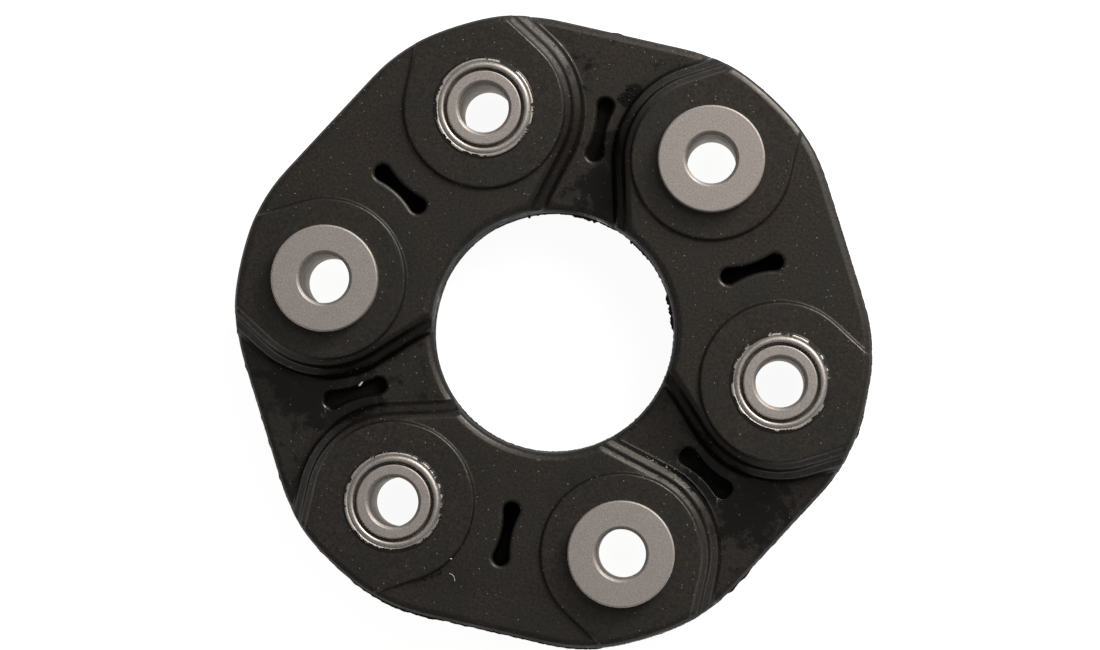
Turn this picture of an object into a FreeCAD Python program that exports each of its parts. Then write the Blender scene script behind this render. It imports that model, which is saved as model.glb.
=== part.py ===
import FreeCAD, Part
import math
import os

# A flexible rubber coupling disc for a shaft. Six steel bushes stand on one bolt circle in a moulded
# rubber body, and every second bush is turned over. Cord loops inside the rubber tie neighbouring
# bushes together, three in the front half and three in the back half.
# Each link between two bushes is a ridge on one face and a valley on the other, by turns.
# The origin is the disc's centre at mid-thickness, and +Z points out of the front face.
# All sizes are in millimetres, and angles are in degrees.

# Bolt circle and bushes
bush_count = 6
pitch_circle_d = 96.0
bolt_d = 10.0
bolt_clearance = 0.2
bore_chamfer = 0.6
sleeve_wall = 2.55
sleeve_proud = 0.3
sleeve_end_chamfer = 0.2
flange_width = 3.35
flange_thickness = 3.0
flange_chamfer = 0.3

# Bevelled ring pressed on the plain end of each bush, with a groove round the sleeve
collar_width = 2.55
collar_crown = 0.35
collar_gap = 0.6
groove_width = 0.65
groove_depth = 1.2

# Support ring between the two cord loops on a bush
divider_width = 3.2
divider_thickness = 1.6

# Cord loops, and the rubber between each loop and its sleeves
loop_gap = 1.15
loop_width = 4.2
loop_height = 9.6

# Outline of the rubber body: its cover outside the loops, the flats between the lobes, and how far
# from the axis the centres of its round corners lie
lobe_cover = 5.3
flat_cut = 3.0
corner_centre_r = 30.3
hole_cover = 3.8
side_draft = 2.0
rim_round = 1.4

# Heights of the rubber: over the loops, of the pads, and of the valleys
ridge_cover = 2.8
pad_rise = 0.8
valley_depth = 7.2

# Pad round each bush, with straight sides towards the outline
pad_margin = 5.6
pad_chamfer = 0.3
pad_side_angle = 60.0

# Stepped wall between a ridge and a valley: a rounded shoulder, a steep step and a rounded bead
shoulder_ledge = 0.3
shoulder_width = 1.35
shoulder_drop = 2.6
step_drop = 0.5
wall_draft = 8.0
bead_width = 2.2
neck_angle = 135.0

# Blind slot in each link
slot_offset = 1.3
slot_cover = 0.85
slot_end_r = 1.65
slot_waist = 1.9
slot_chamfer = 0.5
slot_web = 3.0
slot_web_offset = 0.5

# Rounded edges of the rubber are made of this many flats
round_flats = 2

pitch_r = pitch_circle_d / 2
pitch_angle = 360 / bush_count
link_r = pitch_r * math.cos(math.radians(pitch_angle / 2))
link_half = pitch_r * math.sin(math.radians(pitch_angle / 2))

bore_r = (bolt_d + bolt_clearance) / 2
sleeve_r = bore_r + sleeve_wall
flange_r = sleeve_r + flange_width
collar_r = sleeve_r + collar_width
groove_r = sleeve_r + groove_width
divider_r = sleeve_r + divider_width

loop_inner_r = sleeve_r + loop_gap
loop_outer_r = loop_inner_r + loop_width
loop_bottom = divider_thickness / 2
loop_top = loop_bottom + loop_height

ridge_top = loop_top + ridge_cover
pad_top = ridge_top + pad_rise
valley_floor = ridge_top - valley_depth
collar_bottom = loop_top + collar_gap
flange_face = pad_top + flange_thickness
sleeve_end = pad_top + sleeve_proud

lobe_r = pitch_r + loop_outer_r + lobe_cover
hole_r = link_r - loop_outer_r - hole_cover
pad_r = flange_r + pad_margin
slot_half = loop_inner_r - slot_offset - slot_cover

# Long enough to reach past the outline from any bush
beyond = lobe_r + pad_r

UP = FreeCAD.Vector(0, 0, 1)
ORIGIN = FreeCAD.Vector(0, 0, 0)


def spot(x, y, z, angle=0.0):
    """A point given in axes that are turned about Z by an angle."""
    turn = math.radians(angle)
    return FreeCAD.Vector(
        x * math.cos(turn) - y * math.sin(turn), x * math.sin(turn) + y * math.cos(turn), z
    )


def turned(shape, angle):
    """A copy turned about the disc's axis."""
    copy = shape.copy()
    copy.rotate(ORIGIN, UP, angle)
    return copy


def on_bush(shape, angle):
    """A copy moved from the origin to the bush at that angle, with its +X pointing outwards."""
    copy = shape.copy()
    copy.translate(FreeCAD.Vector(pitch_r, 0, 0))
    return turned(copy, angle)


def turned_over(shape):
    """The copy that a front shape has in the back half, one bush further round."""
    return turned(shape.mirror(ORIGIN, UP), pitch_angle)


def section(corners):
    """A face in the XZ plane from its (x, z) corners."""
    points = [FreeCAD.Vector(x, 0, z) for x, z in corners]
    return Part.Face(Part.makePolygon(points + points[:1]))


def spun(corners):
    """A ring with that section, spun about Z."""
    return section(corners).revolve(ORIGIN, UP, 360)


def quarter_oval(width, height):
    """Corners (out, up) round an edge, from straight up to straight out."""
    corners = []
    for step in range(round_flats + 1):
        angle = math.radians(90 - 90 * step / round_flats)
        corners.append((width * math.cos(angle), height * math.sin(angle)))
    return corners


def outline_wire(inset, z):
    """The lobed outline: a flat at each link, a lobe round each bush, and round corners between."""
    lobe = lobe_r - inset
    corner = lobe - corner_centre_r
    flat = lobe - flat_cut
    corner_x = flat - corner
    corner_y = math.sqrt(corner_centre_r ** 2 - corner_x ** 2)
    corner_end = math.atan2(corner_y, corner_x)
    bend_x = corner_x + corner * math.cos(corner_end / 2)
    bend_y = corner_y + corner * math.sin(corner_end / 2)
    lobe_x = lobe * math.cos(corner_end)
    lobe_y = lobe * math.sin(corner_end)
    edges = []
    for link in range(bush_count):
        here = (link + 0.5) * pitch_angle
        after = here + pitch_angle
        flat_start = spot(flat, -corner_y, z, here)
        flat_end = spot(flat, corner_y, z, here)
        lobe_start = spot(lobe_x, lobe_y, z, here)
        lobe_end = spot(lobe_x, -lobe_y, z, after)
        next_flat = spot(flat, -corner_y, z, after)
        edges.append(Part.LineSegment(flat_start, flat_end))
        edges.append(Part.Arc(flat_end, spot(bend_x, bend_y, z, here), lobe_start))
        edges.append(Part.Arc(lobe_start, spot(lobe, 0, z, here + pitch_angle / 2), lobe_end))
        edges.append(Part.Arc(lobe_end, spot(bend_x, -bend_y, z, after), next_flat))
    return Part.Wire([edge.toShape() for edge in edges])


def blank(top):
    """The front half of the disc as if it had one height all over, with drafted sides and round rims."""
    levels = [(0, 0)]
    for out, up in reversed(quarter_oval(rim_round, rim_round)):
        z = top - rim_round + up
        draft = (top - rim_round) * math.tan(math.radians(side_draft))
        levels.append((draft + rim_round - out, z))
    disc = Part.makeLoft([outline_wire(inset, z) for inset, z in levels], True, True)
    bore = [(hole_r + inset, z) for inset, z in levels]
    return disc.cut(spun([(0, 0)] + bore + [(0, top)]))


def edge_sweep(profile, first, last):
    """The profile swept about a bush axis between two directions, measured from outwards."""
    return turned(profile.revolve(ORIGIN, UP, last - first), first)


def edge_run(profile, direction, side):
    """The profile run on in a straight line from the end of its sweep."""
    return turned(profile.extrude(FreeCAD.Vector(0, side * beyond / 2, 0)), direction)


def ridge_profile():
    """Section of the raised ground from the bush axis out to its stepped wall."""
    shoulder = pad_r + shoulder_ledge
    step_top = ridge_top - shoulder_drop
    bead_top = step_top - step_drop
    corners = [(0, 0), (0, ridge_top)]
    for out, up in quarter_oval(shoulder_width, shoulder_drop):
        corners.append((shoulder + out, step_top + up))
    bead_start = shoulder + shoulder_width + step_drop * math.tan(math.radians(wall_draft))
    for out, up in quarter_oval(bead_width, bead_top - valley_floor):
        corners.append((bead_start + out, valley_floor + up))
    corners.append((bead_start + bead_width, 0))
    return section(corners)


def ridge():
    """The raised ground of one link, round the bushes at 0 and at one pitch angle."""
    profile = ridge_profile()
    lean = math.radians(neck_angle + pitch_angle / 2 - 180)
    neck = spot(link_r + link_half * math.tan(lean), 0, 0)
    outline = [
        spot(beyond, link_half, 0), spot(link_r, link_half, 0), neck,
        spot(link_r, -link_half, 0), spot(beyond, -link_half, 0),
    ]
    core = Part.Face(Part.makePolygon(outline + outline[:1]))
    ground = turned(core.extrude(UP * ridge_top), pitch_angle / 2)
    for angle, side in ((pitch_angle, 1), (0, -1)):
        first, last = sorted((side * pad_side_angle, side * neck_angle))
        sweep = edge_sweep(profile, first, last)
        outwards = edge_run(profile, side * pad_side_angle, -side)
        inwards = edge_run(profile, side * neck_angle, side)
        for piece in (sweep, outwards, inwards):
            ground = ground.fuse(on_bush(piece, angle))
    return ground


def pad():
    """The pad round the bush at angle 0, with straight sides that run to the outline."""
    profile = section([
        (0, 0),
        (0, pad_top),
        (pad_r - pad_chamfer, pad_top),
        (pad_r, pad_top - pad_chamfer),
        (pad_r, 0),
    ])
    ground = edge_sweep(profile, pad_side_angle, 360 - pad_side_angle)
    for side in (1, -1):
        ground = ground.fuse(edge_run(profile, side * pad_side_angle, -side))
    return on_bush(ground, 0)


def slot_wire(grow, z):
    """The dumbbell outline of a slot, widened all round, at the link at angle 0."""
    end_r = slot_end_r + grow
    waist_half = slot_waist / 2 + grow
    end_x = slot_half - slot_end_r
    side_r = (waist_half ** 2 + end_x ** 2 - end_r ** 2) / (2 * (end_r - waist_half))
    share = end_r / (end_r + side_r)
    join_x = end_x * (1 - share)
    join_y = (waist_half + side_r) * share
    middle = link_r + slot_offset
    edges = []
    for end in (1, -1):
        start = spot(middle + end * join_x, end * join_y, z)
        tip = spot(middle + end * (end_x + end_r), 0, z)
        across = spot(middle + end * join_x, -end * join_y, z)
        waist = spot(middle, -end * waist_half, z)
        back = spot(middle - end * join_x, -end * join_y, z)
        edges.append(Part.Arc(start, tip, across).toShape())
        edges.append(Part.Arc(across, waist, back).toShape())
    return Part.Wire(edges)


def slot(bottom, top):
    """The hollow of a slot, from its blind end to its chamfered mouth."""
    shaft = Part.Face(slot_wire(0, bottom)).extrude(UP * (top - bottom))
    chamfer = [slot_wire(0, top - slot_chamfer), slot_wire(slot_chamfer, top)]
    return shaft.fuse(Part.makeLoft(chamfer, True, True))


def rubber_half():
    """The front half of the solid rubber: low ground all over, ridges, pads and slots."""
    half = blank(valley_floor)
    high = blank(ridge_top)
    pads = blank(pad_top)
    for number in range(bush_count):
        angle = number * pitch_angle
        if number % 2 == 0:
            half = half.fuse(high.common(turned(ridge(), angle)))
    for number in range(bush_count):
        half = half.fuse(pads.common(turned(pad(), number * pitch_angle)))
    half = half.removeSplitter()
    for link in range(bush_count):
        if link % 2 == 0:
            hollow = slot(slot_web / 2 + slot_web_offset, ridge_top)
        else:
            hollow = slot(slot_web / 2 - slot_web_offset, valley_floor)
        half = half.cut(turned(hollow, (link + 0.5) * pitch_angle))
    return half


def bush():
    """A flanged sleeve at the origin, its flange on the front."""
    return spun([
        (bore_r, bore_chamfer - sleeve_end),
        (bore_r, flange_face - bore_chamfer),
        (bore_r + bore_chamfer, flange_face),
        (flange_r - flange_chamfer, flange_face),
        (flange_r, flange_face - flange_chamfer),
        (flange_r, pad_top),
        (sleeve_r, pad_top),
        (sleeve_r, sleeve_end_chamfer - sleeve_end),
        (sleeve_r - sleeve_end_chamfer, -sleeve_end),
        (bore_r + bore_chamfer, -sleeve_end),
    ])


def end_collar():
    """The ring on the bush's plain end, at the back."""
    crown_r = (groove_r + collar_r) / 2
    crown_z = pad_top + collar_crown
    return spun([
        (sleeve_r, -collar_bottom),
        (sleeve_r, groove_depth - crown_z),
        (groove_r, groove_depth - crown_z),
        (groove_r, -crown_z),
        (crown_r, -crown_z),
        (collar_r, -pad_top),
        (collar_r, -collar_bottom),
    ])


def divider_collar():
    """The support ring round the sleeve at mid-thickness."""
    half = divider_thickness / 2
    return spun([(sleeve_r, -half), (divider_r, -half), (divider_r, half), (sleeve_r, half)])


def bush_seat():
    """What a bush and its end collar take out of the rubber."""
    start = spot(0, 0, -flange_face)
    sleeve = Part.makeCylinder(sleeve_r, 2 * flange_face, start)
    collar = Part.makeCylinder(collar_r, flange_face - collar_bottom, start)
    return sleeve.fuse(collar)


def racetrack(radius):
    """A prism in the front half, as high as a cord loop, that goes round two neighbouring bushes."""
    middle = pitch_angle / 2
    outer_start = spot(link_r + radius, -link_half, loop_bottom, middle)
    outer_end = spot(link_r + radius, link_half, loop_bottom, middle)
    inner_start = spot(link_r - radius, link_half, loop_bottom, middle)
    inner_end = spot(link_r - radius, -link_half, loop_bottom, middle)
    far_tip = spot(link_r, link_half + radius, loop_bottom, middle)
    near_tip = spot(link_r, -link_half - radius, loop_bottom, middle)
    edges = [
        Part.LineSegment(outer_start, outer_end),
        Part.Arc(outer_end, far_tip, inner_start),
        Part.LineSegment(inner_start, inner_end),
        Part.Arc(inner_end, near_tip, outer_start),
    ]
    wire = Part.Wire([edge.toShape() for edge in edges])
    return Part.Face(wire).extrude(UP * loop_height)


def cord_loop():
    """The wound pack of cord round the bushes at 0 and at one pitch angle."""
    return racetrack(loop_outer_r).cut(racetrack(loop_inner_r))


def bush_set(shape):
    """One copy for each bush. Odd numbers are turned over, so that their flange is at the back."""
    pieces = []
    for number in range(bush_count):
        facing = shape if number % 2 else shape.mirror(ORIGIN, UP)
        pieces.append(on_bush(facing, number * pitch_angle))
    return pieces


def inner_pieces():
    """The pieces sealed in the rubber, by node name."""
    pieces = {}
    for number, piece in enumerate(bush_set(divider_collar()), 1):
        pieces[f"divider_collar_{number}"] = piece
    for number in range(bush_count // 2):
        loop = turned(cord_loop(), number * 2 * pitch_angle)
        pieces[f"front_cord_loop_{number + 1}"] = loop
        pieces[f"back_cord_loop_{number + 1}"] = turned_over(loop)
    return pieces


def rubber_body(inside):
    """The whole moulding, with the seats of the bushes and the room of the pieces inside cut out."""
    half = rubber_half()
    body = half.fuse(turned_over(half)).removeSplitter()
    for seat in bush_set(bush_seat()):
        body = body.cut(seat)
    for piece in inside.values():
        body = body.cut(piece)
    return body


def all_pieces():
    """Every piece by its node name."""
    pieces = inner_pieces()
    pieces["rubber_body"] = rubber_body(pieces)
    for number, piece in enumerate(bush_set(bush()), 1):
        pieces[f"bush_{number}"] = piece
    for number, piece in enumerate(bush_set(end_collar()), 1):
        pieces[f"end_collar_{number}"] = piece
    return pieces


os.makedirs("parts", exist_ok=True)
for node, shape in sorted(all_pieces().items()):
    solids = shape.Solids
    print(node, len(solids), "solid", round(shape.Volume, 1), "mm3", shape.isValid())
    shape.exportStep(f"parts/{node}.step")
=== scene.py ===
# %% [markdown]
# A flexible rubber coupling disc, as it lies on a light table.
# The disc joins two shafts. Six steel bushes stand in a moulded rubber body, each turned the other
# way up from its neighbours, and three bolts of each shaft go through every second one.
# The construction comes in as a fixed frame of CAD nodes, and this file gives it its looks:
# a moulded body with its rounded edges and its ragged flash, blasted steel, and the dirt of a shelf.
# Everything is in metres in the frame's own axes, with +Z out of the front face.

import math
import random

import bmesh
import bpy
from mathutils import Matrix, Vector, noise
from mathutils.bvhtree import BVHTree


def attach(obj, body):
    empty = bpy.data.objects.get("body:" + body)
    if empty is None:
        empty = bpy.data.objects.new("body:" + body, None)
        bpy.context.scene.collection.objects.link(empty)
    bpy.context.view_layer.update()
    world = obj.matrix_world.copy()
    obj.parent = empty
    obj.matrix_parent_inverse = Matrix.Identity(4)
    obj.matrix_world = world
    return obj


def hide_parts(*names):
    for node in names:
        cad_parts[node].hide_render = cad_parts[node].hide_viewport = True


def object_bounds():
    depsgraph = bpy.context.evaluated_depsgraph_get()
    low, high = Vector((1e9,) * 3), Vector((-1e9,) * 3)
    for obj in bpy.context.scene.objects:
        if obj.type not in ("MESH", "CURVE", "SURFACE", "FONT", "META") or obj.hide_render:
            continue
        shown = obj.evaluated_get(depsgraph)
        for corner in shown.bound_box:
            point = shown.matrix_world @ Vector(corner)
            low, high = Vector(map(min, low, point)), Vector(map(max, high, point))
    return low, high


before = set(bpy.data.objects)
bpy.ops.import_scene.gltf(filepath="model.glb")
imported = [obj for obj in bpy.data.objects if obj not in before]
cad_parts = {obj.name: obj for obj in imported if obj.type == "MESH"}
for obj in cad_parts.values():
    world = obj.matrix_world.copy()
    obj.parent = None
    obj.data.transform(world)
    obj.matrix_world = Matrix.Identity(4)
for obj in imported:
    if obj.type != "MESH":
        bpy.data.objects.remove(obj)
cad_low, cad_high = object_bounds()
scene = bpy.context.scene
print("frame:", len(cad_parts), "nodes")

# %% [markdown]
# Sizes are easier to read in millimetres, so each one is written in them and turned to metres here.
# The few that the pieces below share are the disc's own: where its bushes stand, and how wide they are.

# %% Sizes of the disc
MM = 0.001
BUSH_COUNT = 6
PITCH_ANGLE = 2 * math.pi / BUSH_COUNT
PITCH_R = 48.0
LINK_R = PITCH_R * math.cos(PITCH_ANGLE / 2)
PAD_TOP = 14.0
RIDGE_TOP = 13.2
VALLEY_FLOOR = 6.0


def bush_spot(number):
    """Where the axis of a bush stands, from its number, in millimetres."""
    angle = (number - 1) * PITCH_ANGLE
    return Vector((PITCH_R * math.cos(angle), PITCH_R * math.sin(angle), 0))


def front_sign(number):
    """1 for a bush whose plain end is on the front, and -1 for one whose flange is."""
    return 1 if number % 2 else -1


print("bush 1 at", tuple(bush_spot(1)), "mm")

# %% [markdown]
# The camera stands where the photograph's stood: nearly straight above, about 1.2 m away, with a long
# lens. Its place was found from the six bushes, whose bores show how far the view leans over.
# A matrix made of three axes turns it: it looks along its own -Z, with +Y up in the picture.

# %% Camera
camera_spot = Vector((40.9, -25.2, 1218.0)) * MM
camera_aim = Vector((-0.63, 0.92, 17.0)) * MM
camera_up = Vector((-0.2233, 0.9748, 0.0))
focal_length_mm = 192.0

back = (camera_spot - camera_aim).normalized()
right = camera_up.cross(back).normalized()
upwards = back.cross(right)
camera = bpy.data.objects.new("camera", bpy.data.cameras.new("camera"))
camera.matrix_world = Matrix.Translation(camera_spot) @ Matrix((right, upwards, back)).transposed().to_4x4()
camera.data.sensor_width = 36.0
camera.data.lens = focal_length_mm
camera.data.clip_start = 0.01
camera.data.clip_end = 100.0
scene.collection.objects.link(camera)
scene.camera = camera
print("camera is", round((camera_spot - camera_aim).length, 3), "m away")

# %% [markdown]
# A material is a small graph of nodes. One helper adds a node, sets it and links its inputs, so that
# each material below reads as a list of what it is made of. A value that is a node's output is linked,
# and any other is set on the socket. Colours are written as the hex values that a screen shows, and
# one function turns them into the linear numbers that the render counts with.

# %% Helpers for materials
def linear(hex_colour):
    """An sRGB hex colour such as '#2A2826' as linear red, green, blue and alpha."""
    parts = [int(hex_colour[i:i + 2], 16) / 255 for i in (1, 3, 5)]
    return [c / 12.92 if c <= 0.04045 else ((c + 0.055) / 1.055) ** 2.4 for c in parts] + [1.0]


def add(tree, kind, settings=None, **inputs):
    """A node of that kind, with its settings, and its inputs set or linked by name."""
    node = tree.nodes.new(kind)
    for name, value in (settings or {}).items():
        setattr(node, name, value)
    for name, value in inputs.items():
        key = int(name[1:]) if name[0] == "i" and name[1:].isdigit() else name.replace("_", " ")
        if isinstance(value, bpy.types.NodeSocket):
            tree.links.new(value, node.inputs[key])
        else:
            node.inputs[key].default_value = value
    return node


def new_material(name):
    """An empty material and its node tree."""
    material = bpy.data.materials.new(name)
    material.use_nodes = True
    material.node_tree.nodes.clear()
    return material, material.node_tree


print("black rubber is", [round(c, 4) for c in linear("#2A2826")])

# %% [markdown]
# The disc lies on a white table in soft light. The floor shows white to the camera, and to the gloss
# of the metal, and it keeps a soft shadow, because a part of its white is real and lit by the lamps.
# It lies a hair below the disc's feet, so that the two never share a plane, and it is clear from
# below, so that a view from there shows the disc too.
# The sheet behind it curves up a little far away, so that a level view sees white too. It stays low,
# because black rubber mirrors all that stands round it, and a tall white wall would light every edge.

# %% Floor and backdrop
FLOOR_GAP = 0.02 * MM
FLOOR_Z = cad_low.z - FLOOR_GAP
WHITE_GLOW = 0.93
floor_radius = 4.0
backdrop_curve = [(0.03, 0.25), (0.15, 0.45), (0.5, 0.55)]


def white_backdrop():
    """White to the camera, gloss and glass, a plain pale sheet to the light, and clear from behind."""
    material, tree = new_material("white_backdrop")
    path = add(tree, "ShaderNodeLightPath")
    seen = add(tree, "ShaderNodeMath", {"operation": "MAXIMUM"},
               i0=path.outputs["Is Camera Ray"], i1=path.outputs["Is Glossy Ray"])
    seen = add(tree, "ShaderNodeMath", {"operation": "MAXIMUM"},
               i0=seen.outputs[0], i1=path.outputs["Is Transmission Ray"])
    strength = add(tree, "ShaderNodeMath", {"operation": "MULTIPLY"}, i0=seen.outputs[0], i1=WHITE_GLOW)
    glow = add(tree, "ShaderNodeEmission", Color=linear("#FFFFFF"), Strength=strength.outputs[0])
    paper = add(tree, "ShaderNodeBsdfDiffuse", Color=linear("#A0A0A0"))
    both = add(tree, "ShaderNodeAddShader", i0=glow.outputs[0], i1=paper.outputs[0])
    under = add(tree, "ShaderNodeNewGeometry").outputs["Backfacing"]
    clear = add(tree, "ShaderNodeBsdfTransparent")
    sided = add(tree, "ShaderNodeMixShader", i0=under, i1=both.outputs[0], i2=clear.outputs[0])
    add(tree, "ShaderNodeOutputMaterial", Surface=sided.outputs[0])
    return material


sheet = bmesh.new()
bmesh.ops.create_circle(sheet, cap_ends=True, segments=96, radius=floor_radius)
rim = [edge for edge in sheet.edges if edge.is_boundary]
for rise, spread in backdrop_curve:
    raised = bmesh.ops.extrude_edge_only(sheet, edges=rim)["geom"]
    corners = [v for v in raised if isinstance(v, bmesh.types.BMVert)]
    for corner in corners:
        outwards = Vector((corner.co.x, corner.co.y, 0)).normalized()
        corner.co = outwards * (floor_radius + spread) + Vector((0, 0, rise))
    rim = [e for e in raised if isinstance(e, bmesh.types.BMEdge)]
bmesh.ops.translate(sheet, verts=sheet.verts, vec=Vector((0, 0, FLOOR_Z)))
backdrop = bpy.data.objects.new("backdrop", bpy.data.meshes.new("backdrop"))
sheet.to_mesh(backdrop.data)
sheet.free()
backdrop.data.materials.append(white_backdrop())
scene.collection.objects.link(backdrop)
print("floor at", round(FLOOR_Z / MM, 2), "mm")

# %% [markdown]
# Black rubber shows its shape only by what it mirrors, so the lamps are large and soft. Both stand
# over the top right of the picture, where the photograph's light comes from. The high one keeps the
# shadows short, and the low and smaller one draws the pale bands on the stepped walls. The sky is a
# plain grey that fills the shadows.

# %% Lights
LAMP_DISTANCE = 1.0
SKY_STRENGTH = 0.26


def picture_direction(over, up, rise):
    """A direction given by the picture: over to the right, up in it, and rise towards the camera."""
    return (right * over + upwards * up + back * rise).normalized()


def soft_lamp(name, direction, size, power):
    """A square soft box that faces the disc."""
    lamp = bpy.data.objects.new(name, bpy.data.lights.new(name, "AREA"))
    lamp.data.shape = "SQUARE"
    lamp.data.size = size
    lamp.data.energy = power
    lamp.data.color = linear("#FFFCF8")[:3]
    lamp.location = direction * LAMP_DISTANCE
    lamp.rotation_mode = "QUATERNION"
    lamp.rotation_quaternion = direction.to_track_quat("Z", "Y")
    scene.collection.objects.link(lamp)


soft_lamp("high_light", picture_direction(0.40, 0.55, 0.90), 0.6, 3.4)
soft_lamp("edge_light", picture_direction(0.60, 0.72, 0.48), 0.34, 11.0)

world = bpy.data.worlds.new("grey_sky")
world.use_nodes = True
world.node_tree.nodes["Background"].inputs["Color"].default_value = (1.0, 1.0, 1.0, 1.0)
world.node_tree.nodes["Background"].inputs["Strength"].default_value = SKY_STRENGTH
scene.world = world
scene.view_settings.view_transform = "Standard"

# %% [markdown]
# The rubber body is one moulding, and its rooms for the cord loops are closed all round, so nobody
# sees them. The looks need only its skin. A copy of the CAD node is merged, because it comes in as
# loose triangles, and the faces that lie on the loops and on the support rings are found with a BVH
# tree, which answers what is the nearest face to a point. Without them each bush seat has a slit at
# mid-thickness, and bridging its two rims closes the skin again.

# %% Skin of the moulding
MERGE_DISTANCE = 0.0005 * MM


def merged_copy(*names):
    """A bmesh of those CAD nodes, with the corners of their loose triangles joined."""
    shell = bmesh.new()
    for name in names:
        shell.from_mesh(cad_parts[name].data)
    bmesh.ops.remove_doubles(shell, verts=shell.verts, dist=MERGE_DISTANCE)
    return shell


def flat_distance(point, spot):
    """How far two points are apart, seen from above."""
    return (point - spot).to_2d().length


inner_names = [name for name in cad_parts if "cord_loop" in name or "divider_collar" in name]
inner = merged_copy(*inner_names)
inner_tree = BVHTree.FromBMesh(inner)
inner.free()

skin = merged_copy("rubber_body")
on_inner = 0.02 * MM
slit_reach = 9 * MM
hidden = []
for face in skin.faces:
    distance = inner_tree.find_nearest(face.calc_center_median())[3]
    if distance < on_inner:
        hidden.append(face)
bmesh.ops.delete(skin, geom=hidden, context="FACES")
for number in range(1, BUSH_COUNT + 1):
    spot = bush_spot(number) * MM
    slit = [e for e in skin.edges if e.is_boundary and flat_distance(e.verts[0].co, spot) < slit_reach]
    bmesh.ops.bridge_loops(skin, edges=slit)
bmesh.ops.recalc_face_normals(skin, faces=skin.faces)
print("skin:", len(skin.faces), "faces, open edges:", sum(e.is_boundary for e in skin.edges))

# %% [markdown]
# Rubber never leaves a mould with a knife's edge. Rounding each edge by a bevel would need a clean
# mesh, and this one is a net of long thin triangles. A voxel remesh makes an even skin out of
# anything closed, a smoothing pass then rounds every edge and corner alike, and a decimate takes
# away the triangles that the flat ground doesn't need. The shading follows the large faces.

# %% Round the edges of the moulding
voxel = 0.25 * MM
smoothing_passes = 1
triangle_budget = 190000


def new_piece(shape, name):
    """Turns a bmesh into an object that rides with the disc, and frees the bmesh."""
    piece = bpy.data.objects.new(name, bpy.data.meshes.new(name))
    shape.to_mesh(piece.data)
    shape.free()
    scene.collection.objects.link(piece)
    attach(piece, "root")
    return piece


def applied(piece):
    """Makes the result of a piece's modifiers its mesh."""
    evaluated = piece.evaluated_get(bpy.context.evaluated_depsgraph_get())
    result = bpy.data.meshes.new_from_object(evaluated)
    piece.modifiers.clear()
    piece.data = result


def smooth_shading(piece):
    """Shades a piece as one curved skin."""
    piece.data.polygons.foreach_set("use_smooth", [True] * len(piece.data.polygons))
    piece.data.update()


section = skin.copy()
moulding = new_piece(skin, "moulded_body")
remesh = moulding.modifiers.new("even_skin", "REMESH")
remesh.mode = "VOXEL"
remesh.voxel_size = voxel
soften = moulding.modifiers.new("soften", "SMOOTH")
soften.factor = 0.5
soften.iterations = smoothing_passes
applied(moulding)
thin_out = moulding.modifiers.new("thin_out", "DECIMATE")
thin_out.ratio = triangle_budget / (2 * len(moulding.data.polygons))
applied(moulding)
smooth_shading(moulding)
moulding.modifiers.new("weighted_normals", "WEIGHTED_NORMAL")
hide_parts("rubber_body")
print("moulding:", len(moulding.data.polygons), "faces")

# %% [markdown]
# Where the mould's halves met, rubber crept between them and was torn off. It leaves a thin ragged
# fin round the outline and in the central hole, in some places high and in others nearly gone. The
# skin is cut at mid-thickness for the two lines that the fins follow, so they need no points of their
# own. Each line is extruded to a ribbon, its outer edge is torn by noise, and it gets a thickness.

# %% Lines of the flash
flash_step = 0.3 * MM


def section_loop(source, low, high, inset):
    """The cut's edges between two radii, in short steps, drawn back into the rubber by the inset."""
    line = source.copy()
    stray = [v for v in line.verts if not low * MM < v.co.to_2d().length < high * MM]
    bmesh.ops.delete(line, geom=stray, context="VERTS")
    for edge in list(line.edges):
        cuts = int(edge.calc_length() / flash_step)
        if cuts:
            bmesh.ops.subdivide_edges(line, edges=[edge], cuts=cuts)
    moves = {}
    for corner in line.verts:
        one, other = [edge.other_vert(corner).co for edge in corner.link_edges]
        along = (other - one).normalized()
        outwards = Vector((along.y, -along.x, 0))
        if outwards.dot(corner.co) < 0:
            outwards.negate()
        moves[corner] = outwards
    for corner, outwards in moves.items():
        corner.co -= outwards * inset
    return line, moves


whole = section.verts[:] + section.edges[:] + section.faces[:]
bmesh.ops.bisect_plane(section, geom=whole, dist=0.001 * MM, plane_co=(0, 0, 0), plane_no=(0, 0, 1),
                       clear_inner=True, clear_outer=True)
print("cut at mid-thickness:", len(section.edges), "edges")

# %% [markdown]
# The heights of the flash are what shows of it in the photograph, so each stretch is a range of angles
# round the disc with how far it stands out there. Noise that is fixed by its place breaks it up.

# %% Fins of flash
FLASH_THICKNESS = 0.16
FLASH_LEAST = 0.05
outline_radii = (58, 70)
hole_radii = (20, 30)
outline_stretches = [
    (232, 292, 0.22), (244, 262, 0.14), (168, 232, 0.10), (189, 194, 0.18), (316, 323, 0.22),
    (353, 359, 0.20), (117, 121, 0.22), (89, 93, 0.18), (60, 64, 0.12),
]
hole_stretches = [
    (113.8, 116.2, 0.5), (94.0, 113.0, 0.16), (82.0, 95.0, 0.42), (72.0, 84.0, 0.16),
    (61.3, 63.3, 0.5), (50.0, 62.0, 0.2), (14.0, 31.5, 0.5), (30.0, 50.0, 0.06), (116.0, 150.0, 0.05),
]


def flash_height(angle, stretches, seed):
    """How far the flash stands out at an angle in degrees, in millimetres."""
    height = FLASH_LEAST
    for first, last, stand in stretches:
        edge = min(1.2, (last - first) / 3)
        rise = min(1.0, max(0.0, min(angle - first, last - angle) / edge))
        height += stand * rise
    coarse = noise.noise(Vector((angle * 0.6, seed, 0)))
    fine = noise.noise(Vector((angle * 2.6, seed, 5)))
    return max(0.0, height * (1 + 0.6 * coarse) + 0.10 * coarse + 0.09 * fine)


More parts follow.
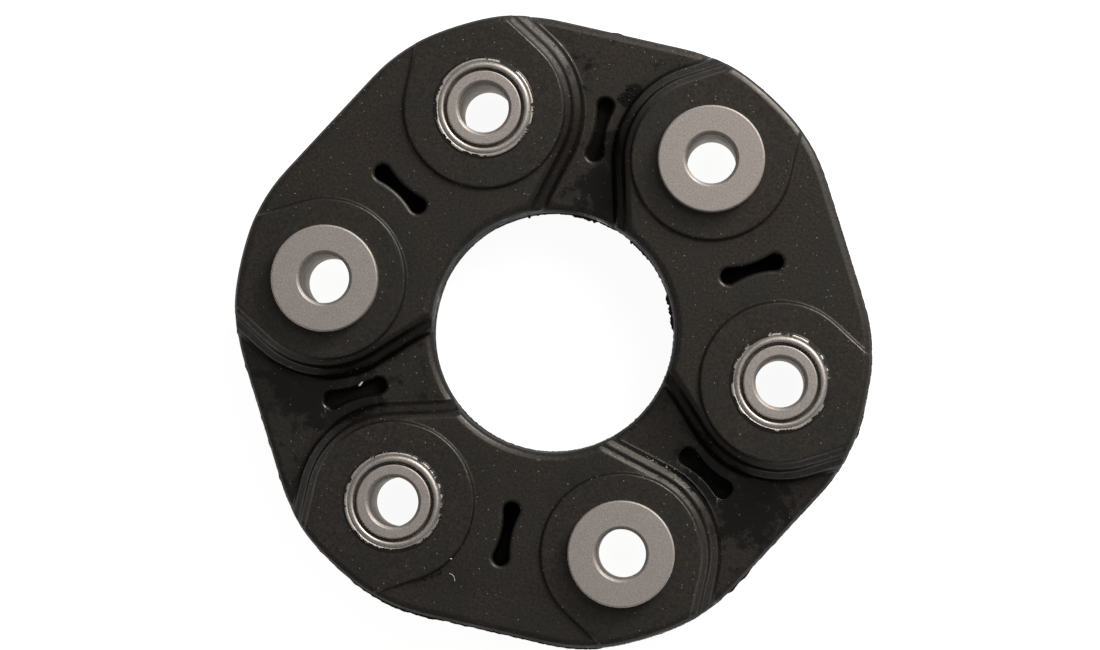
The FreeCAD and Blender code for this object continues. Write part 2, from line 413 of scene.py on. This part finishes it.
def flash_fin(name, radii, side, stretches, seed):
    """A torn fin along one of the lines. The side is 1 for outwards and -1 for into the hole."""
    sunk = 0.5 * MM
    line, outwards = section_loop(section, *radii, side * sunk)
    root = {corner: outwards[corner] for corner in line.verts}
    ribbon = bmesh.ops.extrude_edge_only(line, edges=line.edges[:])["geom"]
    for tip in [v for v in ribbon if isinstance(v, bmesh.types.BMVert)]:
        foot = next(e.other_vert(tip) for e in tip.link_edges if e.other_vert(tip) in root)
        angle = math.degrees(math.atan2(foot.co.y, foot.co.x)) % 360
        height = flash_height(angle, stretches, seed) * MM
        tip.co = foot.co + side * root[foot] * (sunk + height)
        tip.co.z += 0.12 * MM * noise.noise(Vector((angle * 0.3, seed, 9)))
    bmesh.ops.recalc_face_normals(line, faces=line.faces)
    bmesh.ops.solidify(line, geom=line.faces[:], thickness=FLASH_THICKNESS * MM)
    bmesh.ops.translate(line, verts=line.verts, vec=(0, 0, FLASH_THICKNESS * MM / 2))
    bmesh.ops.recalc_face_normals(line, faces=line.faces)
    return new_piece(line, name)


outline_flash = flash_fin("outline_flash", outline_radii, 1, outline_stretches, 3)
hole_flash = flash_fin("hole_flash", hole_radii, -1, hole_stretches, 7)
section.free()
print("flash:", len(outline_flash.data.polygons), "and", len(hole_flash.data.polygons), "faces")

# %% [markdown]
# A bush is turned from thick drawn tube: one profile, spun about its axis. It is made anew here, with
# many more steps than the CAD mesh has, so that its rims look round, and a bevel takes off each edge.
# The bore keeps the skin of the tube and isn't blasted, so its faces take a second material.

# %% Bushes
TURNING_STEPS = 128


def turned_ring(profile, number, name, facing):
    """Spins a closed (radius, height) profile in mm and stands it on a bush's axis."""
    ring = bmesh.new()
    corners = [ring.verts.new((r * MM, 0, z * facing * MM)) for r, z in profile]
    edges = [ring.edges.new(pair) for pair in zip(corners, corners[1:] + corners[:1])]
    bmesh.ops.spin(ring, geom=corners + edges, cent=(0, 0, 0), axis=(0, 0, 1), dvec=(0, 0, 0),
                   angle=2 * math.pi, steps=TURNING_STEPS, use_merge=True)
    bmesh.ops.remove_doubles(ring, verts=ring.verts, dist=MERGE_DISTANCE)
    bmesh.ops.recalc_face_normals(ring, faces=ring.faces)
    bmesh.ops.translate(ring, verts=ring.verts, vec=bush_spot(number) * MM)
    piece = new_piece(ring, name)
    smooth_shading(piece)
    return piece


def broken_edges(piece, width):
    """Takes the sharpness off a turned piece's edges, and keeps its flats flat."""
    bevel = piece.modifiers.new("broken_edges", "BEVEL")
    bevel.width = width * MM
    bevel.segments = 2
    bevel.limit_method = "ANGLE"
    bevel.angle_limit = math.radians(20)
    piece.modifiers.new("weighted_normals", "WEIGHTED_NORMAL")


BORE_R = 5.1
bore_slack = 0.05
bush_profile = [
    (BORE_R, -13.7), (BORE_R, 16.4), (5.7, 17.0), (10.72, 17.0), (11.0, 16.72), (11.0, 14.0),
    (7.65, 14.0), (7.65, -14.1), (7.45, -14.3), (5.7, -14.3),
]
bushes = []
for number in range(1, BUSH_COUNT + 1):
    bush = turned_ring(bush_profile, number, f"turned_bush_{number}", -front_sign(number))
    for face in bush.data.polygons:
        if flat_distance(face.center, bush_spot(number) * MM) < (BORE_R + bore_slack) * MM:
            face.material_index = 1
    broken_edges(bush, 0.08)
    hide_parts(f"bush_{number}")
    bushes.append(bush)
print("bushes:", len(bushes), "of", len(bushes[0].data.polygons), "faces")

# %% [markdown]
# The ring pressed on the plain end of each bush has a rolled crown, a fine step and a flat outer lip.
# The lip is what the photograph shows as a bright broken line, because rubber crept over it in the
# mould and was partly torn away. The profile has each of these as its own corners.

# %% End collars
collar_profile = [
    (10.2, -3.0), (10.2, 0.02), (10.12, 0.1), (9.62, 0.14), (9.5, 0.0), (9.42, 0.0), (9.34, 0.22),
    (9.18, 0.33), (8.74, 0.36), (8.46, 0.3), (8.3, 0.12), (8.3, -0.85), (7.66, -0.85), (7.66, -3.0),
]
collars = []
for number in range(1, BUSH_COUNT + 1):
    raised = [(r, PAD_TOP + z) for r, z in collar_profile]
    collar = turned_ring(raised, number, f"rolled_collar_{number}", front_sign(number))
    collar.modifiers.new("weighted_normals", "WEIGHTED_NORMAL")
    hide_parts(f"end_collar_{number}")
    collars.append(collar)
print("collars:", len(collars), "of", len(collars[0].data.polygons), "faces")

# %% [markdown]
# What is left of the rubber film on each lip is a flat ring whose inner edge jumps in and out. A circle
# is extruded inwards, and noise decides at each angle whether the film is still there. Each bush has
# its own share of film, as in the photograph: little at the top one and much at the right one.

# %% Torn film on the lips
FILM_OUTER_R = 10.5
film_share = {1: 0.62, 2: 0.4, 3: 0.3, 4: 0.5, 5: 0.46, 6: 0.35}


def film_edge(angle, number):
    """The inner radius of the film at an angle in degrees, in millimetres."""
    turn = math.radians(angle)
    place = Vector((math.cos(turn), math.sin(turn), number * 3.7))
    broad = noise.noise(place * 2.2) + 0.5 * noise.noise(place * 9.0)
    fine = noise.noise(place * 40.0)
    kept = (broad + 0.35 * fine) / 0.9 + film_share[number] - 0.5
    cover = min(1.0, max(0.0, 0.5 + kept * 3.5))
    return 10.28 - 0.62 * cover + 0.07 * fine


films = []
for number in range(1, BUSH_COUNT + 1):
    film = bmesh.new()
    bmesh.ops.create_circle(film, cap_ends=False, segments=540, radius=FILM_OUTER_R * MM)
    inwards = bmesh.ops.extrude_edge_only(film, edges=film.edges[:])["geom"]
    for corner in [v for v in inwards if isinstance(v, bmesh.types.BMVert)]:
        angle = math.degrees(math.atan2(corner.co.y, corner.co.x))
        corner.co *= film_edge(angle, number) / FILM_OUTER_R
        corner.co.z = 0.12 * MM
    bmesh.ops.recalc_face_normals(film, faces=film.faces)
    bmesh.ops.solidify(film, geom=film.faces[:], thickness=0.07 * MM)
    if front_sign(number) < 0:
        bmesh.ops.rotate(film, verts=film.verts, matrix=Matrix.Rotation(math.pi, 3, "X"))
    height = Vector((0, 0, front_sign(number) * (PAD_TOP + 0.05)))
    bmesh.ops.translate(film, verts=film.verts, vec=(bush_spot(number) + height) * MM)
    bmesh.ops.recalc_face_normals(film, faces=film.faces)
    films.append(new_piece(film, f"torn_film_{number}"))
print("films:", len(films), "of", len(films[0].data.polygons), "faces")

# %% [markdown]
# Handling left a few loose bits: a pale fleck of lint by the left slot and one on a pad, a fine hair,
# crumbs of rubber torn off under the upper right wall and beside a pad, and dust that caught on the
# lowest wall. Their places are read off the picture, whose upward direction leans a little against
# the frame's own, and one function turns such a place back.
# Each bit starts as a ball that is stretched and dented by noise, and the hair is a small circle spun
# part of the way round. The bits of a strewn patch share one mesh, and a fixed seed gives their places.

# %% Lint and crumbs
PICTURE_LEAN = 12.9


def on_picture(over, up, height=VALLEY_FLOOR):
    """A place on the disc in mm, over to the right and up in the picture from the disc's centre."""
    lean = math.radians(PICTURE_LEAN)
    turned = (over * math.cos(lean) - up * math.sin(lean), over * math.sin(lean) + up * math.cos(lean))
    return Vector((turned[0], turned[1], height))


def add_crumb(shape, place, size, turn):
    """Adds a dented bit of the given length, width and thickness in mm, lying at a place."""
    ball = bmesh.ops.create_icosphere(shape, subdivisions=2, radius=0.5)["verts"]
    for corner in ball:
        corner.co *= 1 + 0.4 * noise.noise(corner.co * 3 + place)
    bmesh.ops.scale(shape, verts=ball, vec=Vector(size) * MM)
    bmesh.ops.rotate(shape, verts=ball, matrix=Matrix.Rotation(math.radians(turn), 3, "Z"))
    bmesh.ops.translate(shape, verts=ball, vec=(place + Vector((0, 0, 0.3 * size[2]))) * MM)


def strewn(name, count, largest, spot_of, seed):
    """A patch of small bits, whose places spot_of gives from two random shares."""
    chance = random.Random(seed)
    patch = bmesh.new()
    for _ in range(count):
        size = largest * chance.uniform(0.35, 1)
        place = spot_of(chance.random(), chance.gauss(0, 1))
        add_crumb(patch, place, (size, size * 0.6, size * 0.5), chance.uniform(0, 180))
    return new_piece(patch, name)


def under_right_wall(along, across):
    """A place on the valley floor in the upper right of the picture."""
    return on_picture(13.4 + 3.2 * along - 0.35 * across, 47.6 + 2.6 * along + 0.5 * across, VALLEY_FLOOR)


def beside_lower_pad(along, across):
    """A place on the ridge in the lower left of the picture."""
    return on_picture(-28.2 + 5.4 * along, -51.9 + 2.5 * along + 0.12 * across, RIDGE_TOP)


def on_lowest_wall(along, across):
    """A place on the round wall of the lowest pad."""
    turn = math.radians(54 + 26 * along)
    reach = 20.1 + 0.25 * across
    return on_picture(13.9 + reach * math.cos(turn), -45.8 + reach * math.sin(turn), 8.8 - 0.5 * across)


flecks = bmesh.new()
add_crumb(flecks, on_picture(-39.9, -10.8), (1.3, 0.4, 0.3), 63)
add_crumb(flecks, on_picture(-20.8, -46.9, PAD_TOP), (0.4, 0.3, 0.25), 20)
hair = bmesh.new()
bmesh.ops.create_circle(hair, cap_ends=True, segments=8, radius=0.055 * MM)
bmesh.ops.rotate(hair, verts=hair.verts, matrix=Matrix.Rotation(math.pi / 2, 3, "X"))
bmesh.ops.translate(hair, verts=hair.verts, vec=(1.3 * MM, 0, 0))
bmesh.ops.spin(hair, geom=hair.verts[:] + hair.edges[:] + hair.faces[:], cent=(0, 0, 0), axis=(0, 0, 1),
               dvec=(0, 0, 0), angle=math.radians(95), steps=14, use_merge=False)
bmesh.ops.recalc_face_normals(hair, faces=hair.faces)
bmesh.ops.translate(hair, verts=hair.verts, vec=on_picture(-21.4, -51.2, RIDGE_TOP + 0.07) * MM)
lint = [
    new_piece(flecks, "lint_flecks"),
    new_piece(hair, "lint_hair"),
    strewn("caught_dust", 14, 0.6, on_lowest_wall, 5),
]
crumbs = [
    strewn("torn_crumbs_upper", 44, 0.7, under_right_wall, 2),
    strewn("torn_crumbs_lower", 26, 0.6, beside_lower_pad, 3),
]
print("loose bits:", [piece.name for piece in lint + crumbs])

# %% [markdown]
# Natural rubber filled with soot is black-brown. It was moulded against spark-eroded steel, which
# gives a fine matt grain, and wax has bloomed on it, so the high ground is an even warm grey-black.
# Its looks are built in stages. Each stage is a function that takes the colour and the roughness so
# far, and gives them back changed.
# The first stage is for the walls. A steep wall is painted darker than the flat ground. This is painted
# shade, which stands in for the shade on walls that face away from the lamps. Its steepest rims and its
# creases have little gloss, so that the pale bands that the lamps draw there stay narrow.

# %% Steep walls with painted shade, and creases
PAINTED_WALL_SHADE = "#0C0B0A"
DULL_GLOSS = 0.06


def on_walls(tree, colour, rough, gloss):
    """Paints shade on steep walls by blackening them, and dulls their rims and creases."""
    skin = add(tree, "ShaderNodeNewGeometry").outputs
    facing = add(tree, "ShaderNodeSeparateXYZ", Vector=skin["Normal"])
    upright = add(tree, "ShaderNodeMath", {"operation": "ABSOLUTE"}, i0=facing.outputs["Z"])
    # Painted shade: the steeper the wall, the nearer its colour turns to black.
    steep = add(tree, "ShaderNodeMapRange", Value=upright.outputs[0], i1=0.93, i2=0.7, i3=0.0, i4=0.65)
    colour = add(tree, "ShaderNodeMix", {"data_type": "RGBA"}, i0=steep.outputs[0],
                 i6=colour, i7=linear(PAINTED_WALL_SHADE)).outputs[2]
    rim = add(tree, "ShaderNodeMapRange", Value=upright.outputs[0], i1=0.68, i2=0.3, i3=0.0, i4=1.0)
    crease = add(tree, "ShaderNodeMapRange", Value=skin["Pointiness"], i1=0.499, i2=0.46, i3=0.0, i4=0.9)
    dull = add(tree, "ShaderNodeMath", {"operation": "MAXIMUM"}, i0=rim.outputs[0], i1=crease.outputs[0])
    gloss = add(tree, "ShaderNodeMapRange", Value=dull.outputs[0],
                i1=0.0, i2=1.0, i3=gloss, i4=DULL_GLOSS).outputs[0]
    rough = add(tree, "ShaderNodeMath", {"operation": "MULTIPLY_ADD"},
                i0=rim.outputs[0], i1=0.25, i2=rough).outputs[0]
    return colour, rough, gloss


print("steep walls turn to", PAINTED_WALL_SHADE, "and the gloss of creases falls to", DULL_GLOSS)

# %% [markdown]
# The low ground gets darker, glossier patches. In part they are the rubber's own, where the wax film
# breaks up on ground that is rubbed less. In part they are painted shade, on the valley floors and
# at the foot of walls that face away from the lamps. The places where the photograph shows them are
# soft round spots, each with its middle and its reach in mm, and noise tears their edges. A small share
# all over lets the noise leave a few traces elsewhere.

# %% Dark patches and painted shade on the low ground
# The patches' near-black is partly the rubber's own and partly painted shade.
PATCH_BLACK_AND_SHADE = "#060708"
PATCH_ROUGHNESS = 0.2
SHARE_ALL_OVER = 0.08
dark_and_shade_spots = [
    (on_picture(11.2, 28.5), 6.2), (on_picture(14.0, 37.0), 4.2), (on_picture(40.0, -35.0), 9.0),
    (on_picture(30.0, -29.0), 6.0), (on_picture(-50.0, -10.0), 9.0), (on_picture(-42.0, -13.5), 7.0),
    (on_picture(33.0, -19.5), 5.5), (on_picture(15.0, 47.9), 1.8), (on_picture(16.9, 49.6), 1.7),
]


def on_low_ground(tree, place, height, colour, rough):
    """Adds the dark patches, which are partly the rubber's own and partly painted shade, and fade out
    towards the ridges.
    """
    low = add(tree, "ShaderNodeMapRange", Value=height, i1=12.5 * MM, i2=8.5 * MM, i3=0.0, i4=1.0)
    spots = SHARE_ALL_OVER
    for middle, reach in dark_and_shade_spots:
        apart = add(tree, "ShaderNodeVectorMath", {"operation": "DISTANCE"}, i0=place, i1=middle * MM)
        near = add(tree, "ShaderNodeMapRange", {"interpolation_type": "SMOOTHSTEP"},
                   Value=apart.outputs["Value"], i1=1.6 * reach * MM, i2=0.4 * reach * MM, i3=0.0, i4=0.8)
        spots = add(tree, "ShaderNodeMath", {"operation": "MAXIMUM"},
                    i0=near.outputs[0], i1=spots).outputs[0]
    tear = add(tree, "ShaderNodeTexNoise", Vector=place, Scale=1 / (3.4 * MM), Detail=6.0, Roughness=0.7)
    torn = add(tree, "ShaderNodeMapRange", Value=tear.outputs["Fac"], i1=0.33, i2=0.67, i3=0.0, i4=1.0)
    both = add(tree, "ShaderNodeMath", {"operation": "ADD"}, i0=spots, i1=torn.outputs[0])
    bare_and_shade = add(tree, "ShaderNodeMapRange", {"interpolation_type": "SMOOTHSTEP"},
               Value=both.outputs[0], i1=0.70, i2=1.14, i3=0.0, i4=0.95)
    bare_and_shade = add(tree, "ShaderNodeMath", {"operation": "MULTIPLY"}, i0=bare_and_shade.outputs[0], i1=low.outputs[0])
    # Partly painted shade: the low ground and the listed spots turn near-black.
    colour = add(tree, "ShaderNodeMix", {"data_type": "RGBA"}, i0=bare_and_shade.outputs[0],
                 i6=colour, i7=linear(PATCH_BLACK_AND_SHADE)).outputs[2]
    rough = add(tree, "ShaderNodeMix", i0=bare_and_shade.outputs[0], i2=rough, i3=PATCH_ROUGHNESS).outputs[0]
    return colour, rough


print("dark patches:", len(dark_and_shade_spots))

# %% [markdown]
# The blind slots are deeper than any valley. Their floors are a plain rough grey, with none of the
# gloss of the ground above. Depth alone would also catch the disc's outer side and the wall of its
# hole, so the distance from the axis leaves these two out.

# %% Floors of the slots
SLOT_GREY = "#1E1D1B"


def in_slots(tree, parts, height, colour, rough):
    """Turns the slots' floors to a rough grey."""
    flat_place = add(tree, "ShaderNodeCombineXYZ", X=parts.outputs["X"], Y=parts.outputs["Y"])
    reach = add(tree, "ShaderNodeVectorMath", {"operation": "LENGTH"}, i0=flat_place.outputs[0])
    reach = reach.outputs["Value"]
    deep = add(tree, "ShaderNodeMapRange", Value=height, i1=5.8 * MM, i2=4.6 * MM, i3=0.0, i4=1.0)
    sides = add(tree, "ShaderNodeMapRange", Value=reach, i1=57 * MM, i2=56 * MM, i3=0.0, i4=1.0)
    rims = add(tree, "ShaderNodeMapRange", Value=reach, i1=27 * MM, i2=28 * MM, i3=0.0, i4=1.0)
    deep = add(tree, "ShaderNodeMath", {"operation": "MULTIPLY"}, i0=deep.outputs[0], i1=sides.outputs[0])
    deep = add(tree, "ShaderNodeMath", {"operation": "MULTIPLY"}, i0=deep.outputs[0], i1=rims.outputs[0])
    colour = add(tree, "ShaderNodeMix", {"data_type": "RGBA"}, i0=deep.outputs[0],
                 i6=colour, i7=linear(SLOT_GREY)).outputs[2]
    rough = add(tree, "ShaderNodeMath", {"operation": "MULTIPLY_ADD", "use_clamp": True},
                i0=deep.outputs[0], i1=0.5, i2=rough).outputs[0]
    return colour, rough


print("slot floors turn to", SLOT_GREY)

# %% [markdown]
# Dust lies all over. A Voronoi pattern splits the rubber into cells, each with a random colour of its
# own, and that colour's red says how wide the speck in the middle of the cell is. Three cells in ten
# have none.

# %% Dust
DUST_CELL = 0.92
DUST_GREY = "#A39C92"


def with_dust(tree, place, colour, rough):
    """Sprinkles pale matt specks over the rubber."""
    cells = add(tree, "ShaderNodeTexVoronoi", Vector=place, Scale=1 / (DUST_CELL * MM), Randomness=1.0)
    chance = add(tree, "ShaderNodeSeparateColor", Color=cells.outputs["Color"])
    width = add(tree, "ShaderNodeMapRange", Value=chance.outputs["Red"], i1=0.3, i2=1.0, i3=0.0, i4=0.14)
    inside = add(tree, "ShaderNodeMath", {"operation": "SUBTRACT"},
                 i0=width.outputs[0], i1=cells.outputs["Distance"])
    dust = add(tree, "ShaderNodeMapRange", Value=inside.outputs[0], i1=0.0, i2=0.035, i3=0.0, i4=0.7)
    colour = add(tree, "ShaderNodeMix", {"data_type": "RGBA"}, i0=dust.outputs[0],
                 i6=colour, i7=linear(DUST_GREY)).outputs[2]
    rough = add(tree, "ShaderNodeMath", {"operation": "MAXIMUM"}, i0=rough, i1=dust.outputs[0]).outputs[0]
    return colour, rough


print("a cell of dust is", DUST_CELL, "mm wide")

# %% [markdown]
# The material starts from the two tones of the bloom and from the grain, goes through the stages, and
# ends in a relief of the grain and of a broader swell. The flash, the film and the crumbs are the same
# rubber where it was torn: darker, and with no walls, patches or slots of their own.

# %% Rubber
def rubber_material(name, cool, warm, patches=True, gloss=0.4):
    """Black rubber with its grain, its bloom of wax between two tones, and its dust."""
    material, tree = new_material(name)
    place = add(tree, "ShaderNodeTexCoord").outputs["Object"]
    mottle = add(tree, "ShaderNodeTexNoise", Vector=place, Scale=1 / (9 * MM), Detail=4.0, Roughness=0.6)
    grain = add(tree, "ShaderNodeTexNoise", Vector=place, Scale=1 / (0.55 * MM), Detail=2.0, Roughness=0.6)
    cloud = add(tree, "ShaderNodeMapRange", Value=mottle.outputs["Fac"], i1=0.36, i2=0.64, i3=0.0, i4=1.0)
    bloom = add(tree, "ShaderNodeMix", {"data_type": "RGBA"}, i0=cloud.outputs[0],
                i6=linear(cool), i7=linear(warm))
    speckle = add(tree, "ShaderNodeMapRange", Value=grain.outputs["Fac"],
                  i1=0.35, i2=0.65, i3=0.55, i4=1.45)
    colour = add(tree, "ShaderNodeMix", {"data_type": "RGBA", "blend_type": "MULTIPLY"}, i0=1.0,
                 i6=bloom.outputs[2], i7=speckle.outputs[0]).outputs[2]
    rough = add(tree, "ShaderNodeMapRange", Value=cloud.outputs[0],
                i1=0.0, i2=1.0, i3=0.46, i4=0.30).outputs[0]
    if patches:
        parts = add(tree, "ShaderNodeSeparateXYZ", Vector=place)
        height = add(tree, "ShaderNodeMath", {"operation": "ABSOLUTE"}, i0=parts.outputs["Z"]).outputs[0]
        colour, rough, gloss = on_walls(tree, colour, rough, gloss)
        colour, rough = on_low_ground(tree, place, height, colour, rough)
        colour, rough = in_slots(tree, parts, height, colour, rough)
    colour, rough = with_dust(tree, place, colour, rough)
    swell = add(tree, "ShaderNodeTexNoise", Vector=place, Scale=1 / (2.4 * MM), Detail=3.0)
    relief = add(tree, "ShaderNodeBump", Strength=0.35, Distance=0.06 * MM, Height=grain.outputs["Fac"])
    relief = add(tree, "ShaderNodeBump", Strength=0.25, Distance=0.10 * MM, Height=swell.outputs["Fac"],
                 Normal=relief.outputs[0])
    shader = add(tree, "ShaderNodeBsdfPrincipled", Base_Color=colour, Roughness=rough, IOR=1.5,
                 Specular_IOR_Level=gloss, Specular_Tint=linear("#FFF8EE"), Normal=relief.outputs[0])
    add(tree, "ShaderNodeOutputMaterial", Surface=shader.outputs[0])
    return material


moulded_rubber = rubber_material("moulded_rubber", "#191916", "#282320")
torn_rubber = rubber_material("torn_rubber", "#0B0A09", "#171412", patches=False)
crumb_rubber = rubber_material("crumb_rubber", "#0B0A09", "#2A211C", patches=False, gloss=0.1)
for piece, finish in [(moulding, moulded_rubber), (outline_flash, torn_rubber), (hole_flash, torn_rubber)]:
    piece.data.materials.append(finish)
for film in films:
    film.data.materials.append(torn_rubber)
for crumb in crumbs:
    crumb.data.materials.append(crumb_rubber)
print("rubber:", len(moulded_rubber.node_tree.nodes), "nodes")

# %% [markdown]
# The bushes were blasted with fine grit before the rubber was bonded to them, which leaves a pale matt
# steel with tiny pits. Such a grain is about 0.1 mm wide; it is drawn three to five times as coarse,
# because a pixel of the picture covers 0.2 mm. The bore keeps its brown drawn skin, and the collar's
# crown and lip are polished a little by handling.

# %% Steel
def steel_material(name, light, dark, roughness, grain_width, relief_depth):
    """Bare steel, with grain of the given width in mm between a light and a dark tone."""
    material, tree = new_material(name)
    place = add(tree, "ShaderNodeTexCoord").outputs["Object"]
    grain = add(tree, "ShaderNodeTexNoise", Vector=place, Scale=1 / (grain_width * MM),
                Detail=2.0, Roughness=0.7)
    cloud = add(tree, "ShaderNodeTexNoise", Vector=place, Scale=1 / (4 * MM), Detail=4.0)
    tone = add(tree, "ShaderNodeMath", {"operation": "MULTIPLY_ADD", "use_clamp": True},
               i0=grain.outputs["Fac"], i1=1.6, i2=-0.3)
    colour = add(tree, "ShaderNodeMix", {"data_type": "RGBA"}, i0=tone.outputs[0],
                 i6=linear(dark), i7=linear(light))
    rough = add(tree, "ShaderNodeMapRange", Value=cloud.outputs["Fac"], i1=0.3, i2=0.7,
                i3=roughness - 0.06, i4=roughness + 0.06)
    relief = add(tree, "ShaderNodeBump", Strength=0.5, Distance=relief_depth * MM,
                 Height=grain.outputs["Fac"])
    shader = add(tree, "ShaderNodeBsdfPrincipled", Base_Color=colour.outputs[2], Metallic=1.0,
                 Roughness=rough.outputs[0], Normal=relief.outputs[0])
    add(tree, "ShaderNodeOutputMaterial", Surface=shader.outputs[0])
    return material


blasted_steel = steel_material("blasted_steel", "#BBB3AE", "#8C8681", 0.62, 0.32, 0.03)
bore_steel = steel_material("drawn_bore_steel", "#8E7F6E", "#5E5347", 0.55, 0.5, 0.02)
rolled_steel = steel_material("rolled_steel", "#CCC5BF", "#8E8883", 0.48, 0.4, 0.02)
for bush in bushes:
    bush.data.materials.append(blasted_steel)
    bush.data.materials.append(bore_steel)
for collar in collars:
    collar.data.materials.append(rolled_steel)
print("steels:", blasted_steel.name, bore_steel.name, rolled_steel.name)

# %% [markdown]
# The cord loops and the support rings are sealed in the rubber, and only the part's section would show
# them. They keep their CAD shape and still get a true finish: polyester cord, wound in layers of about
# 0.6 mm and dipped brown so that the rubber bonds to it, and natural polyamide for the rings.

# %% Cord and polyamide
CORD_LAYER = 0.6


def wound_cord():
    """Dipped polyester cord, whose turns lie on each other in the height of the loop."""
    material, tree = new_material("dipped_polyester_cord")
    place = add(tree, "ShaderNodeTexCoord").outputs["Object"]
    turns = add(tree, "ShaderNodeTexWave", {"bands_direction": "Z"}, Vector=place,
                Scale=1 / (3.2 * CORD_LAYER * MM), Distortion=0.6, Detail=2.0)
    colour = add(tree, "ShaderNodeMix", {"data_type": "RGBA"}, i0=turns.outputs["Fac"],
                 i6=linear("#4A2E1E"), i7=linear("#7C5438"))
    relief = add(tree, "ShaderNodeBump", Strength=0.6, Distance=0.1 * MM, Height=turns.outputs["Fac"])
    shader = add(tree, "ShaderNodeBsdfPrincipled", Base_Color=colour.outputs[2], Roughness=0.7,
                 Normal=relief.outputs[0])
    add(tree, "ShaderNodeOutputMaterial", Surface=shader.outputs[0])
    return material


def polyamide():
    """Natural moulded polyamide: milky, with a soft sheen."""
    material, tree = new_material("natural_polyamide")
    place = add(tree, "ShaderNodeTexCoord").outputs["Object"]
    cloud = add(tree, "ShaderNodeTexNoise", Vector=place, Scale=1 / (3 * MM), Detail=2.0)
    colour = add(tree, "ShaderNodeMix", {"data_type": "RGBA"}, i0=cloud.outputs["Fac"],
                 i6=linear("#CFC5AC"), i7=linear("#DED6C2"))
    shader = add(tree, "ShaderNodeBsdfPrincipled", Base_Color=colour.outputs[2], Roughness=0.42)
    add(tree, "ShaderNodeOutputMaterial", Surface=shader.outputs[0])
    return material


def fibre(name, dark, light):
    """Matted fibre or settled dust: a rough tangle between two tones."""
    material, tree = new_material(name)
    place = add(tree, "ShaderNodeTexCoord").outputs["Object"]
    tangle = add(tree, "ShaderNodeTexNoise", Vector=place, Scale=1 / (0.2 * MM), Detail=3.0)
    colour = add(tree, "ShaderNodeMix", {"data_type": "RGBA"}, i0=tangle.outputs["Fac"],
                 i6=linear(dark), i7=linear(light))
    shader = add(tree, "ShaderNodeBsdfPrincipled", Base_Color=colour.outputs[2], Roughness=0.9)
    add(tree, "ShaderNodeOutputMaterial", Surface=shader.outputs[0])
    return material


cotton = fibre("cotton_lint", "#A9A49B", "#E6E2DA")
grey_dust = fibre("grey_dust", "#5A544D", "#A39C92")
for bit in lint:
    bit.data.materials.append(grey_dust if "dust" in bit.name else cotton)
cord_finish = wound_cord()
ring_finish = polyamide()
for name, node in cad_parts.items():
    node.data.materials.clear()
    if "cord_loop" in name:
        node.data.materials.append(cord_finish)
    elif "divider_collar" in name:
        node.data.materials.append(ring_finish)
    elif "rubber" in name:
        node.data.materials.append(moulded_rubber)
    else:
        node.data.materials.append(blasted_steel)
print("carried-over nodes with a finish:", len(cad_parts))

# %% The end
bpy.context.view_layer.update()
